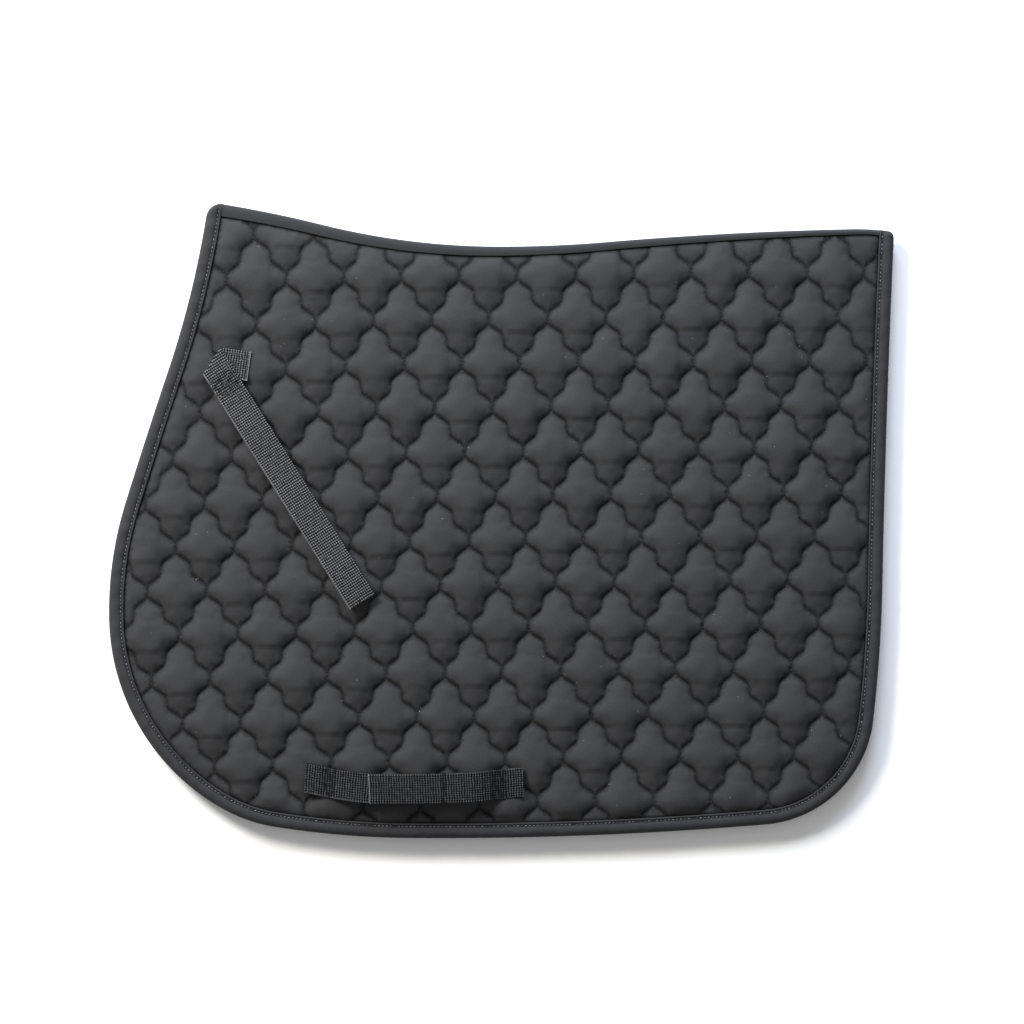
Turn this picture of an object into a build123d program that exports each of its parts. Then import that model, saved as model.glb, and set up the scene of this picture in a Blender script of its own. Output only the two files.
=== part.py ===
"""Folded saddle pad: two quilted halves joined along a curved spine, with a billet strap and
a girth loop on each half.

Frame: the pad lies flat, folded along its spine, near half on top. X runs from the withers
(-X) to the loin (+X), Y from the hem up to the spine, Z is thickness. The origin is the
middle of the outline, on the surface that the off half lies on. Heights called "levels" are
measured outward from the plane where the two linings meet, so one level holds for both halves.
"""
import os
from functools import lru_cache
from math import cos, degrees, radians, sin, tan

from build123d import *

os.makedirs("parts", exist_ok=True)

# ---- outline of one half, as tangent arcs: (radius, length), a negative radius turns right ----
EDGE_START = (-246.4, 301.5)        # on the front edge's line, above the spine
EDGE_HEADING = -96.1
EDGE_ARCS = [                       # down the front, along the hem, up the rear
    (-815, 177.7), (5000, 118.6), (311, 101.4), (190, 196.4), (132, 46.5),
    (763, 115.2), (3280, 305.4), (100.4, 137.6), (1210, 116.0), (-11350, 333.0),
]
SPINE_START = (-279.2, 276.4)       # on the spine's line, ahead of the front edge
SPINE_HEADING = -7.1
SPINE_ARCS = [(-1060, 127.7), (634, 157.6), (1091, 87.9), (-3227, 210.5), (-171, 64.0)]
FRONT_CORNER_RADIUS = 13.0          # where the front edge meets the spine
REAR_CORNER_RADIUS = 5.0
FAR = 600.0                         # well outside the pad

# ---- thickness of one half ----
HALF_THICKNESS = 10.0               # lining side to the top of the quilting
FABRIC = 0.8                        # cover, lining and tape cloth
GAP = 0.3                           # running gap between pieces on different bodies
LINING_LOW = GAP + FABRIC           # the binding's inner flange lies inside the lining
WADDING_LOW = LINING_LOW + FABRIC
MARGIN_TOP = 4.2                    # the sewn-down margin round the quilting
SPINE_MARGIN = 14.0                 # width of that margin along the spine
QUILT_TAPER = 40.0                  # slope of the quilting's side, degrees from upright

# ---- binding, spine tape and their thread ----
BINDING_WIDTH = 13.0
BINDING_TOP = MARGIN_TOP + FABRIC
BINDING_STITCH_INSET = 10.2
TAPE_WIDTH = 8.5
TAPE_TILT = 0.64                    # degrees: the tape narrows from the withers to the loin
TAPE_INSIDE = MARGIN_TOP + GAP
TAPE_TOP = TAPE_INSIDE + FABRIC
THREAD = 0.6
THREAD_PROUD = 0.2

# ---- webbing and its hook and loop tape ----
WEB_WIDTH = 25.0
WEB = 1.2                           # thickness of the webbing
TOUCH_TAPE = 0.7                    # thickness of hook or loop tape
TOUCH_WIDTH = 22.0
TOUCH_GAP = 0.2                     # between closed hook and loop
TOUCH_EDGE = 2.0                    # from the end of a strap to its tape

# ---- billet strap: sewn tab, folded over a slanted line, then a long free strap ----
FOLD_CENTRE = (-245.2, 135.4)
FOLD_ANGLE = 57.0                   # direction of the fold line
STRAP_ANGLE = -58.0                 # direction of the strap as it lies
TAB_ANGLE = 2 * FOLD_ANGLE - STRAP_ANGLE - 180
TAB_LENGTH = 32.0
STRAP_LENGTH = 98.6                 # from the fold to the second fold
STRAP_END_LENGTH = 143.0
STRAP_STANDOFF = WEB + GAP          # the strap lies just clear of the tab
TOUCH_START = 40.0                  # the loop tape starts clear of the tab
STITCH_BOX = 20.0                   # square of stitches that holds the tab down
STITCH_EDGE = 3.0                   # from a sewn end to its first stitches

# ---- girth loop: two straps sewn at their outer ends, closed over each other ----
FRONT_SEWN = (-167.0, -218.4)       # outer end of each strap, at the middle of its width
FRONT_ANGLE = -4.0
FRONT_LENGTH = 125.0
REAR_SEWN = (18.3, -221.6)
REAR_ANGLE = 182.3
REAR_LENGTH = 131.0
ANCHOR_LENGTH = 14.0                # the part that is sewn down
RISE_LENGTH = 30.0                  # over which a strap climbs to its height
TOUCH_LENGTH = 66.0

# ---- where the straps stand on each half ----
NEAR_BILLET_BASE = HALF_THICKNESS
NEAR_GIRTH_BASE = HALF_THICKNESS
NEAR_GIRTH_LIFT = 4.2               # room for a girth under the loop
OFF_BILLET_BASE = 7.0               # the off half lies on its straps, which press into it
OFF_GIRTH_BASE = 5.4
OFF_GIRTH_LIFT = GAP
POCKET_MARGIN = 4.0                 # round a strap pressed into the quilting
POCKET_RUNOUT = 45.0                # the strap's way out to the front margin

SIDES = ("near", "off")
MID_PLANE = Plane.XY.offset(HALF_THICKNESS)


def direction(angle):
    """Unit vector at an angle in the pad's plane."""
    return Vector(cos(radians(angle)), sin(radians(angle)))


def tangent_arcs(start, heading, arcs, shift):
    """Draws tangent arcs, moved to their left by the shift, and gives their two ends."""
    tangent = direction(heading)
    first = Vector(*start) + direction(heading + 90) * shift
    point = first
    for radius, length in arcs:
        arc = JernArc(point, tangent, abs(radius - shift), degrees(length / radius))
        point, tangent = arc @ 1, arc % 1
    return first, point


@lru_cache(maxsize=None)
def outline(edge_inset, spine_inset, spine_tilt=0.0):
    """The half's outline, moved in from its edge and from its spine."""
    with BuildSketch() as under_spine:
        with BuildLine():
            left, right = tangent_arcs(SPINE_START, SPINE_HEADING, SPINE_ARCS, -spine_inset)
            Polyline(right, (FAR, -FAR), (-FAR, -FAR), left)
        make_face()
    tilted = under_spine.sketch.rotate(Axis.Z, spine_tilt)
    with BuildSketch() as shape:
        with BuildLine():
            top, end = tangent_arcs(EDGE_START, EDGE_HEADING, EDGE_ARCS, edge_inset)
            Line(end, top)
        make_face()
        add(tilted, mode=Mode.INTERSECT)
        front = shape.vertices().sort_by(Axis.Y)[-1]
        rear = shape.vertices().sort_by(Axis((0, 0, 0), (1, 1, 0)))[-1]
        fillet(front, max(FRONT_CORNER_RADIUS - edge_inset, 1))
        fillet(rear, max(REAR_CORNER_RADIUS - edge_inset, 1))
    return shape.sketch


def level(height):
    """The plane of the near half at a level."""
    return MID_PLANE.offset(height)


def layer(low, high, edge_inset, spine_inset, mode=Mode.ADD, taper=0, spine_tilt=0.0):
    """One flat layer of the near half between two levels."""
    shape = outline(edge_inset, spine_inset, spine_tilt)
    with BuildSketch(level(low)) as section:
        add(shape)
    extrude(section.sketch, amount=high - low, taper=taper, mode=mode)


def strap_plane(origin, angle, height):
    """A plane at a level, with X along a strap."""
    return Plane(
        origin=(*origin, level(height).origin.Z), x_dir=direction(angle), z_dir=(0, 0, 1)
    )


def strip(origin, angle, low, high, start, end, skew=90.0, width=WEB_WIDTH, mode=Mode.ADD):
    """Flat webbing from a start line, which may be slanted, to a square end."""
    half = width / 2
    lean = half / tan(radians(skew))
    with BuildSketch(strap_plane(origin, angle, low)) as section:
        with BuildLine():
            Polyline(
                (start + lean, half), (start - lean, -half), (end, -half), (end, half), close=True
            )
        make_face()
    extrude(section.sketch, amount=high - low, mode=mode)


def risen_strap(origin, angle, length, base, height):
    """Webbing that leaves its sewn end flat, climbs to a height, then runs level."""
    along = direction(angle)
    side_view = Plane(
        origin=(*origin, level(base).origin.Z), x_dir=along, z_dir=(along.Y, -along.X, 0)
    )
    start = ANCHOR_LENGTH + GAP
    risen = ANCHOR_LENGTH + RISE_LENGTH
    level_ends = ((1, 0), (1, 0))
    with BuildSketch(side_view) as section:
        with BuildLine():
            Line((start, WEB), (start, 0))
            Spline((start, 0), (risen, height), tangents=level_ends)
            Polyline((risen, height), (length, height), (length, height + WEB), (risen, height + WEB))
            Spline((start, WEB), (risen, height + WEB), tangents=level_ends)
        make_face()
    extrude(section.sketch, amount=WEB_WIDTH / 2, both=True)


def strap_pockets(shrink):
    """Cuts the room that the off half's straps press into its quilting."""
    reach = POCKET_MARGIN + shrink
    room = WEB_WIDTH + 2 * reach
    top = HALF_THICKNESS + POCKET_MARGIN
    billet_end = STRAP_LENGTH + STRAP_END_LENGTH + reach
    for origin, angle, base, start, end in (
        (FOLD_CENTRE, STRAP_ANGLE, OFF_BILLET_BASE, -reach, billet_end),
        (FOLD_CENTRE, TAB_ANGLE, OFF_BILLET_BASE, -POCKET_RUNOUT, TAB_LENGTH + reach),
        (FRONT_SEWN, FRONT_ANGLE, OFF_GIRTH_BASE, -reach, FRONT_LENGTH + reach),
        (REAR_SEWN, REAR_ANGLE, OFF_GIRTH_BASE, -reach, REAR_LENGTH + reach),
    ):
        strip(origin, angle, base - shrink, top, start, end, width=room, mode=Mode.SUBTRACT)


def quilt_block(shrink, pressed):
    """The quilting's outer form, or with a shrink of one cloth thickness the wadding's."""
    layer(MARGIN_TOP - shrink, HALF_THICKNESS - shrink, BINDING_WIDTH + shrink,
          SPINE_MARGIN + shrink, taper=QUILT_TAPER)
    if pressed:
        strap_pockets(shrink)
    layer(WADDING_LOW, MARGIN_TOP - shrink, FABRIC, FABRIC)


def save(side, name, near_form):
    """Writes a piece under its side's name, mirrored to the off half where it belongs there."""
    with BuildPart() as placed:
        if side == "near":
            add(near_form)
        else:
            mirror(near_form, about=MID_PLANE)
    placed.part.label = f"{side}_{name}"
    export_step(placed.part, f"parts/{side}_{name}.step")


# ---- the quilted sandwich: lining, wadding and outer cover, sewn down round the edge ----
with BuildPart() as lining:
    layer(LINING_LOW, WADDING_LOW, FABRIC, FABRIC)

for side, pressed in (("near", False), ("off", True)):
    with BuildPart() as wadding:
        quilt_block(FABRIC, pressed)
    with BuildPart() as outer_cover:
        quilt_block(0, pressed)
        add(wadding.part, mode=Mode.SUBTRACT)
    save(side, "lining", lining.part)
    save(side, "wadding", wadding.part)
    save(side, "outer_cover", outer_cover.part)

# ---- edge binding: a strip folded over the edge, open towards the quilting ----
with BuildPart() as edge_binding:
    layer(GAP, BINDING_TOP, 0, 0)
    layer(GAP, BINDING_TOP, BINDING_WIDTH, -FABRIC, mode=Mode.SUBTRACT)
    layer(LINING_LOW, MARGIN_TOP, FABRIC, -FABRIC, mode=Mode.SUBTRACT)

with BuildPart() as binding_stitching:
    layer(BINDING_TOP, BINDING_TOP + THREAD_PROUD, BINDING_STITCH_INSET, FABRIC)
    layer(BINDING_TOP, BINDING_TOP + THREAD_PROUD, BINDING_STITCH_INSET + THREAD, -FABRIC,
          mode=Mode.SUBTRACT)

for side in SIDES:
    save(side, "edge_binding", edge_binding.part)
    save(side, "binding_stitching", binding_stitching.part)

# ---- spine tape: one strip folded over the spine, from binding to binding ----
TAPE_END = BINDING_WIDTH + GAP
with BuildPart() as spine_tape:
    layer(-TAPE_TOP, TAPE_TOP, TAPE_END, 0)
    layer(-TAPE_TOP, TAPE_TOP, 0, TAPE_WIDTH, mode=Mode.SUBTRACT, spine_tilt=TAPE_TILT)
    layer(-TAPE_INSIDE, TAPE_INSIDE, 0, FABRIC - GAP, mode=Mode.SUBTRACT)
spine_tape.part.label = "spine_tape"
export_step(spine_tape.part, "parts/spine_tape.step")

# ---- straps: each is one run of webbing, divided here where it folds or lifts ----
for side, billet_base, girth_base, girth_lift in (
    ("near", NEAR_BILLET_BASE, NEAR_GIRTH_BASE, NEAR_GIRTH_LIFT),
    ("off", OFF_BILLET_BASE, OFF_GIRTH_BASE, OFF_GIRTH_LIFT),
):
    tab_skew = FOLD_ANGLE - TAB_ANGLE
    strap_skew = FOLD_ANGLE - STRAP_ANGLE
    strap_low = billet_base + STRAP_STANDOFF
    tape_low = strap_low - TOUCH_TAPE
    second_fold = STRAP_LENGTH + GAP
    strap_end = STRAP_LENGTH + STRAP_END_LENGTH

    with BuildPart() as billet_tab:
        strip(FOLD_CENTRE, TAB_ANGLE, billet_base, billet_base + WEB, 0, TAB_LENGTH, skew=tab_skew)

    with BuildPart() as billet_tab_stitching:
        tab_top = billet_base + WEB
        box_start = TAB_LENGTH - STITCH_EDGE - STITCH_BOX
        box_end = TAB_LENGTH - STITCH_EDGE
        strip(FOLD_CENTRE, TAB_ANGLE, tab_top, tab_top + THREAD_PROUD, box_start, box_end,
              width=STITCH_BOX)
        strip(FOLD_CENTRE, TAB_ANGLE, tab_top, tab_top + THREAD_PROUD, box_start + THREAD,
              box_end - THREAD, width=STITCH_BOX - 2 * THREAD, mode=Mode.SUBTRACT)

    with BuildPart() as billet_strap:
        strip(FOLD_CENTRE, STRAP_ANGLE, strap_low, strap_low + WEB, 0, STRAP_LENGTH, skew=strap_skew)

    with BuildPart() as billet_loop_tape:
        strip(FOLD_CENTRE, STRAP_ANGLE, tape_low, strap_low, TOUCH_START,
              STRAP_LENGTH - TOUCH_EDGE, width=TOUCH_WIDTH)

    with BuildPart() as billet_strap_end:
        strip(FOLD_CENTRE, STRAP_ANGLE, strap_low, strap_low + WEB, second_fold, strap_end)

    with BuildPart() as billet_hook_tape:
        strip(FOLD_CENTRE, STRAP_ANGLE, tape_low, strap_low, second_fold + TOUCH_EDGE,
              strap_end - TOUCH_EDGE, width=TOUCH_WIDTH)

    with BuildPart() as girth_front_anchor:
        strip(FRONT_SEWN, FRONT_ANGLE, girth_base, girth_base + WEB, 0, ANCHOR_LENGTH)

    with BuildPart() as girth_rear_anchor:
        strip(REAR_SEWN, REAR_ANGLE, girth_base, girth_base + WEB, 0, ANCHOR_LENGTH)

    with BuildPart() as girth_stitching:
        for sewn, angle in ((FRONT_SEWN, FRONT_ANGLE), (REAR_SEWN, REAR_ANGLE)):
            for row in (STITCH_EDGE, ANCHOR_LENGTH - STITCH_EDGE):
                strip(sewn, angle, girth_base + WEB, girth_base + WEB + THREAD_PROUD,
                      row - THREAD / 2, row + THREAD / 2, width=STITCH_BOX)

    hook_low = girth_base + girth_lift + WEB
    loop_low = hook_low + TOUCH_TAPE + TOUCH_GAP
    rear_rise = loop_low + TOUCH_TAPE - girth_base

    with BuildPart() as girth_front_tab:
        risen_strap(FRONT_SEWN, FRONT_ANGLE, FRONT_LENGTH, girth_base, girth_lift)

    with BuildPart() as girth_hook_tape:
        end = FRONT_LENGTH - TOUCH_EDGE
        strip(FRONT_SEWN, FRONT_ANGLE, hook_low, hook_low + TOUCH_TAPE, end - TOUCH_LENGTH, end,
              width=TOUCH_WIDTH)

    with BuildPart() as girth_rear_tab:
        risen_strap(REAR_SEWN, REAR_ANGLE, REAR_LENGTH, girth_base, rear_rise)

    with BuildPart() as girth_loop_tape:
        end = REAR_LENGTH - TOUCH_EDGE
        strip(REAR_SEWN, REAR_ANGLE, loop_low, loop_low + TOUCH_TAPE, end - TOUCH_LENGTH, end,
              width=TOUCH_WIDTH)

    for name, piece in (
        ("billet_tab", billet_tab),
        ("billet_tab_stitching", billet_tab_stitching),
        ("billet_strap", billet_strap),
        ("billet_loop_tape", billet_loop_tape),
        ("billet_strap_end", billet_strap_end),
        ("billet_hook_tape", billet_hook_tape),
        ("girth_front_anchor", girth_front_anchor),
        ("girth_rear_anchor", girth_rear_anchor),
        ("girth_stitching", girth_stitching),
        ("girth_front_tab", girth_front_tab),
        ("girth_hook_tape", girth_hook_tape),
        ("girth_rear_tab", girth_rear_tab),
        ("girth_loop_tape", girth_loop_tape),
    ):
        save(side, name, piece.part)
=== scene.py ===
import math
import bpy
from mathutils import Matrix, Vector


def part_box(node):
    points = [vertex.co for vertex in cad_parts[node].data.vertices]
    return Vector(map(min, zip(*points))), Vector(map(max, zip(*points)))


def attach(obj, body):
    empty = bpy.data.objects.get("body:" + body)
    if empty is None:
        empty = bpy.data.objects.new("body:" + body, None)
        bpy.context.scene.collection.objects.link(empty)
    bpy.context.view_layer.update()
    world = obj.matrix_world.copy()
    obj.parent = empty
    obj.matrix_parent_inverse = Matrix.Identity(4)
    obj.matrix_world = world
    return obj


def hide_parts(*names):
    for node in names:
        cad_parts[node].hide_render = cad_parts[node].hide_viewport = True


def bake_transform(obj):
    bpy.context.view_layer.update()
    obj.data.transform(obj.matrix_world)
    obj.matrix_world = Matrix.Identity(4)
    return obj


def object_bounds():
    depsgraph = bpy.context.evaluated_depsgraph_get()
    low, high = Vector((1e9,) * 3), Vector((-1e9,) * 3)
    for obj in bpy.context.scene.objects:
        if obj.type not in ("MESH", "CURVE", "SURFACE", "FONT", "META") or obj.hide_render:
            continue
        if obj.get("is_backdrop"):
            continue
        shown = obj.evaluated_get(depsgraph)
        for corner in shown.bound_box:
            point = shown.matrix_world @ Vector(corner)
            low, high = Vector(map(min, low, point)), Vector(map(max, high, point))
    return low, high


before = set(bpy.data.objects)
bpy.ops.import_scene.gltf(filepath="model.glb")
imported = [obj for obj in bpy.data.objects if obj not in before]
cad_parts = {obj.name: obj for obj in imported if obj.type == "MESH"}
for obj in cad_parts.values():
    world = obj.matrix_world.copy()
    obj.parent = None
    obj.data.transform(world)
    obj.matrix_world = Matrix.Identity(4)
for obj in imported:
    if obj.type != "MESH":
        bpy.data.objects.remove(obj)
cad_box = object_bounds()

# Looks of the folded saddle pad. Lengths are in millimetres until a mesh is made. As in the CAD
# model, a "level" is a height measured outward from the plane where the two linings meet, so one
# level holds for the near half (above that plane) and the off half (below it).
from types import SimpleNamespace

import bpy
import numpy as np
from mathutils import Vector
from mathutils.geometry import delaunay_2d_cdt
from mathutils.kdtree import KDTree

MM = 0.001
scene = bpy.context.scene
SIDES = ("near", "off")
tape_low, tape_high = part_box("spine_tape")
MID_PLANE = (tape_low.z + tape_high.z) / 2 / MM
_, cover_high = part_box("near_outer_cover")
PAD_TOP = cover_high.z / MM
HALF_SIZE = np.array([cover_high.x, cover_high.y]) / MM

# ---- outline of one half, as tangent arcs: (radius, length), a negative radius turns right ----
EDGE_START = (-246.4, 301.5)
EDGE_HEADING = -96.1
EDGE_ARCS = [
    (-815, 177.7), (5000, 118.6), (311, 101.4), (190, 196.4), (132, 46.5),
    (763, 115.2), (3280, 305.4), (100.4, 137.6), (1210, 116.0), (-11350, 333.0),
]
SPINE_START = (-279.2, 276.4)
SPINE_HEADING = -7.1
SPINE_ARCS = [(-1060, 127.7), (634, 157.6), (1091, 87.9), (-3227, 210.5), (-171, 64.0)]
FRONT_CORNER = 13.0
REAR_CORNER = 5.0
OVERRUN = 80.0  # the arcs may be followed this far past their ends

# ---- quilting: a lattice of points where the wavy stitch lines touch ----
TOUCH_POINT = (-156.8, 167.9)
RIGHT_STEP = (25.84, -36.75)  # from a touching point to the next row's, on each side
LEFT_STEP = (-23.2, -37.66)
SWAY = (1.26, -0.1, -0.09)  # harmonics of a stitch line's swing, which make its bends square
WANDER = 0.5  # unevenness of the lattice
DRAWN_REACH = 300.0  # distance from the pad's middle at which the edges draw it by a few mm
LATTICE_REACH = 18  # lines on each side of the first touching point
STITCH_PITCH = 3.1
STITCH_LENGTH = 2.1
VALLEY = 3.7  # level of the stitch lines
UPRIGHT_LIFT = 1.2  # where they run upright, the thread pulls less deep
PUFF = 6.7  # rise of a full cell above them
PUFF_POWER = 0.74  # under 1, for steep sides and a flatter crown
# the slack creases across the necks of a cell's four lobes: (across X or Y, place, depth, and
# how much lower the lobe beyond the crease lies)
CREASES = [(1, -12.6, 0.75, 0.6), (0, 12.4, 0.4, 0.5), (1, 12.4, 0.3, 0.1), (0, -13.2, 0.3, 0.1)]
CREASE_WIDTH = 1.3
CREASE_REACH = 13.0
# the cloth simulation of the cover, at a scale at which the solver is steady
SIM_SCALE = 0.01  # metres per millimetre
SIM_FRAMES = 8
SIM_CLOTH = dict(  # shrinking below 0 is slack
    quality=4, mass=0.3, tension_stiffness=15, compression_stiffness=15, shear_stiffness=5,
    bending_stiffness=4.0, vertex_group_mass="pins", vertex_group_shrink="slack",
    shrink_min=-0.02, shrink_max=-0.065, use_pressure=True, uniform_pressure_force=4.0,
)
SIM_SHARE = 0.45  # the rest of the rise is an evenly stretched membrane's
COVER_LIMIT = {"near": 10.5, "off": 9.9}  # highest level of each; the off half rests on the floor
MARGIN_LEVEL = 3.9  # of the cover where the binding and the tape hold it
MARGIN_RISE = 13.0
PANEL_EDGE = 2.5  # how far the panels reach into the binding and the tape
PANEL_SPINE = 2.0
FABRIC = 0.8
LINING_MARGIN = 1.15
LINING_VALLEY = 2.0
LINING_CROWN = 0.35

# ---- binding and spine tape ----
BINDING_INSIDE = 12.8
STITCH_INSET = 10.2
TAPE_WIDTH = 8.5
TAPE_TAPER = math.tan(math.radians(0.64))  # the tape narrows from the withers to the loin
# the binding's section as (inset, level): over its top, round the edge, and back inside it
BINDING_OUTSIDE = [
    (12.6, 4.35), (12.8, 4.9), (12.4, 5.4), (11.6, 5.45), (10.9, 5.0), (10.2, 4.65), (9.5, 4.95),
    (8.3, 5.6), (6.6, 6.05), (4.7, 6.05), (2.9, 5.55), (1.4, 4.6), (0.4, 3.3), (0.0, 2.0),
    (0.35, 0.85), (1.3, 0.36), (4.0, 0.33), (8.0, 0.33), (12.0, 0.33), (12.7, 0.45),
]
NOSE_LEVEL = 2.0  # where the binding's round edge and its round ends close
BINDING_INNER = [
    (12.5, 1.0), (8.0, 1.0), (3.2, 1.05), (1.9, 1.35), (1.2, 2.1), (1.3, 3.1), (2.0, 4.0),
    (3.3, 4.75), (5.0, 5.2), (6.6, 5.2), (8.2, 4.8), (9.6, 4.15), (10.8, 4.0), (11.8, 4.15),
]

# ---- straps, as in the CAD model ----
WEB_WIDTH = 25.0
WEB = 1.2
RIB = 2.2  # pitch of the weave along the webbing, and across it
CORD = 1.92
SELVEDGE = 1.1
WEAVE_SLIP = 1.5  # how far the uneven yarns stray
GIRTH_TONE = 0.5  # the girth loop's webbing is darker than the billet strap's
TOUCH_TAPE = 0.7
TOUCH_WIDTH = 22.0
TOUCH_GAP = 0.2
TOUCH_EDGE = 2.0
GAP = 0.3
FOLD_CENTRE = (-245.2, 135.4)
FOLD_ANGLE = 57.0
STRAP_ANGLE = -58.0
TAB_ANGLE = 2 * FOLD_ANGLE - STRAP_ANGLE - 180
TAB_LENGTH = 32.0
STRAP_LENGTH = 98.6  # from the fold to the second fold
STRAP_END_LENGTH = 143.0
STRAP_STANDOFF = WEB + GAP
TOUCH_START = 40.0
STRAP_SPLIT = 36.0  # where the upper and lower pieces of the strap meet
FRONT_SEWN = (-167.0, -218.4)
FRONT_ANGLE = -4.0
FRONT_LENGTH = 125.0
FRONT_BOW = -4.4  # how far the slack strap swings towards the hem
REAR_SEWN = (18.3, -221.6)
REAR_ANGLE = 182.3
REAR_LENGTH = 131.0
REAR_BOW = 2.0
ANCHOR_LENGTH = 14.0
RISE_LENGTH = 30.0
TOUCH_LENGTH = 66.0
BASES = {"near": (10.0, 10.0, 4.2), "off": (7.0, 5.4, GAP)}   # billet, girth, girth's lift


def smooth(t):
    """Smooth step from 0 to 1."""
    t = np.clip(t, 0, 1)
    return t * t * (3 - 2 * t)


def direction(angle):
    """Unit vector at an angle in degrees in the pad's plane."""
    return np.array([math.cos(math.radians(angle)), math.sin(math.radians(angle))])


def ripples(places, wavelength, seed, waves=14):
    """Smooth seeded unevenness of about unit size."""
    dice = np.random.default_rng(seed)
    total = np.zeros(len(places))
    for heading, phase, stretch in dice.uniform((0, 0, 0.7), (2 * np.pi, 2 * np.pi, 1.5), (waves, 3)):
        along = places[:, 0] * math.cos(heading) + places[:, 1] * math.sin(heading)
        total += np.sin(along * 2 * np.pi / (wavelength * stretch) + phase)
    return total * math.sqrt(2 / waves)


def below(level, limit, softness=0.35):
    """The level, held under a limit with a rounded shoulder."""
    return -softness * np.logaddexp(-level / softness, -limit / softness)


def pairs(first, second):
    """Numbers, or grids of them, two by two."""
    return np.stack(np.broadcast_arrays(first, second), -1).reshape(-1, 2)


def add_object(name, data):
    piece = bpy.data.objects.new(name, data)
    scene.collection.objects.link(piece)
    return piece


class Chain:
    """One side of the outline. The pad is on its left (inward 1) or on its right (inward -1)."""

    def __init__(self, start, heading, arcs, inward):
        self.inward = inward
        self.arcs = []
        point, angle, run = np.array(start, float), math.radians(heading), 0.0
        for radius, length in arcs:
            self.arcs.append((run, length, point, angle, float(radius)))
            turned = angle + length / radius
            point = point + radius * np.array(
                [math.sin(turned) - math.sin(angle), math.cos(angle) - math.cos(turned)]
            )
            angle, run = turned, run + length
        self.length = run

    def at(self, run, inset):
        """Points at distances along the chain, moved in by the inset, and the headings there."""
        run, inset = np.broadcast_arrays(np.asarray(run, float), np.asarray(inset, float))
        starts, _, points, headings, radii = (np.array(column) for column in zip(*self.arcs))
        pick = np.clip(np.searchsorted(starts, run, side="right") - 1, 0, len(starts) - 1)
        point, first, radius = points[pick], headings[pick], radii[pick]
        heading = first + (run - starts[pick]) / radius
        x = point[..., 0] + radius * (np.sin(heading) - np.sin(first))
        y = point[..., 1] + radius * (np.cos(first) - np.cos(heading))
        shift = self.inward * inset
        return np.stack([x - shift * np.sin(heading), y + shift * np.cos(heading)], -1), heading

    def measure(self, places):
        """How far in from the chain each place is, and how far along it."""
        best = np.full(len(places), 1e6)
        along = np.zeros(len(places))
        for number, (run, length, point, first, radius) in enumerate(self.arcs):
            sign = math.copysign(1, radius)
            spoke = places - (point + radius * np.array([-math.sin(first), math.cos(first)]))
            heading = np.arctan2(spoke[:, 0] * sign, -spoke[:, 1] * sign)
            local = radius * ((heading - first + np.pi) % (2 * np.pi) - np.pi)
            inset = self.inward * sign * (abs(radius) - np.hypot(spoke[:, 0], spoke[:, 1]))
            low = -OVERRUN if number == 0 else -0.01
            high = length + (OVERRUN if number == len(self.arcs) - 1 else 0.01)
            nearer = (local >= low) & (local <= high) & (np.abs(inset) < np.abs(best))
            best = np.where(nearer, inset, best)
            along = np.where(nearer, run + local, along)
        return best, along


def run_along(line):
    """Distance along a line to each of its points."""
    return np.concatenate([[0], np.cumsum(np.hypot(*np.diff(line, axis=0).T))])


edge = Chain(EDGE_START, EDGE_HEADING, EDGE_ARCS, 1)
spine = Chain(SPINE_START, SPINE_HEADING, SPINE_ARCS, -1)
spine_line = spine.at(np.linspace(-OVERRUN, spine.length, 500), 0)[0]


def spine_height(x):
    """Y of the spine at X."""
    return np.interp(x, spine_line[:, 0], spine_line[:, 1])


def tape_width(x):
    """Width of the spine tape at X."""
    return TAPE_WIDTH - TAPE_TAPER * x


def bisect(low, high, too_low, steps=40):
    """Where a test that starts true turns false, for many values at once."""
    for _ in range(steps):
        middle = (low + high) / 2
        test = too_low(middle)
        low, high = np.where(test, middle, low), np.where(test, high, middle)
    return (low + high) / 2


def edge_end(inset, spine_inset, front):
    """How far along the edge a line at an inset comes to a distance from the spine."""
    inset = np.asarray(inset, float)

    def too_low(run):
        places = edge.at(run, inset)[0].reshape(-1, 2)
        short = spine.measure(places)[0].reshape(inset.shape) < spine_inset
        return short if front else ~short

    reach = 120.0
    low = 0.0 if front else edge.length - reach
    return bisect(np.full(inset.shape, low), np.full(inset.shape, low + reach), too_low)


def insets(places):
    """How far in each place is from the edge, and from the spine."""
    return edge.measure(places)[0], spine.measure(places)[0]


def margins(places):
    """How far in each place is from the binding or the tape, whichever is nearer."""
    from_edge, from_spine = insets(places)
    nearer = np.minimum(from_edge - BINDING_INSIDE, from_spine - tape_width(places[:, 0]))
    return np.where(np.any(np.abs(places) > HALF_SIZE, axis=1), -1.0, nearer)


# ---- the quilting's lattice ----

def sway(t):
    """How a stitch line swings as it crosses a row: upright at both ends and halfway."""
    turns = [4 * np.pi * harmonic for harmonic in (1, 2, 3)]
    return t - sum(share * np.sin(turn * t) / turn for share, turn in zip(SWAY, turns))


def even_place(right, left):
    """Place of a point of the even lattice."""
    x = TOUCH_POINT[0] + RIGHT_STEP[0] * sway(right) + LEFT_STEP[0] * sway(left)
    return np.stack([x, TOUCH_POINT[1] + RIGHT_STEP[1] * right + LEFT_STEP[1] * left], -1)


def wander(places):
    """How far the lattice strays: drawn by the sewing of the edges, and by the cloth's unevenness."""
    x, y = (places / DRAWN_REACH).T
    drawn_x = 2.8 * x - 1.8 * x ** 2 + 2.2 * y ** 2 - 0.7
    drawn_y = 2.1 * y - 1.9 * x ** 2 - 2.2 * x * y + 1.1 * y ** 2 - 0.2
    uneven = np.stack([ripples(places, 130, 30), ripples(places, 130, 31)], -1)
    return np.stack([drawn_x, drawn_y], -1) + WANDER * uneven


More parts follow.
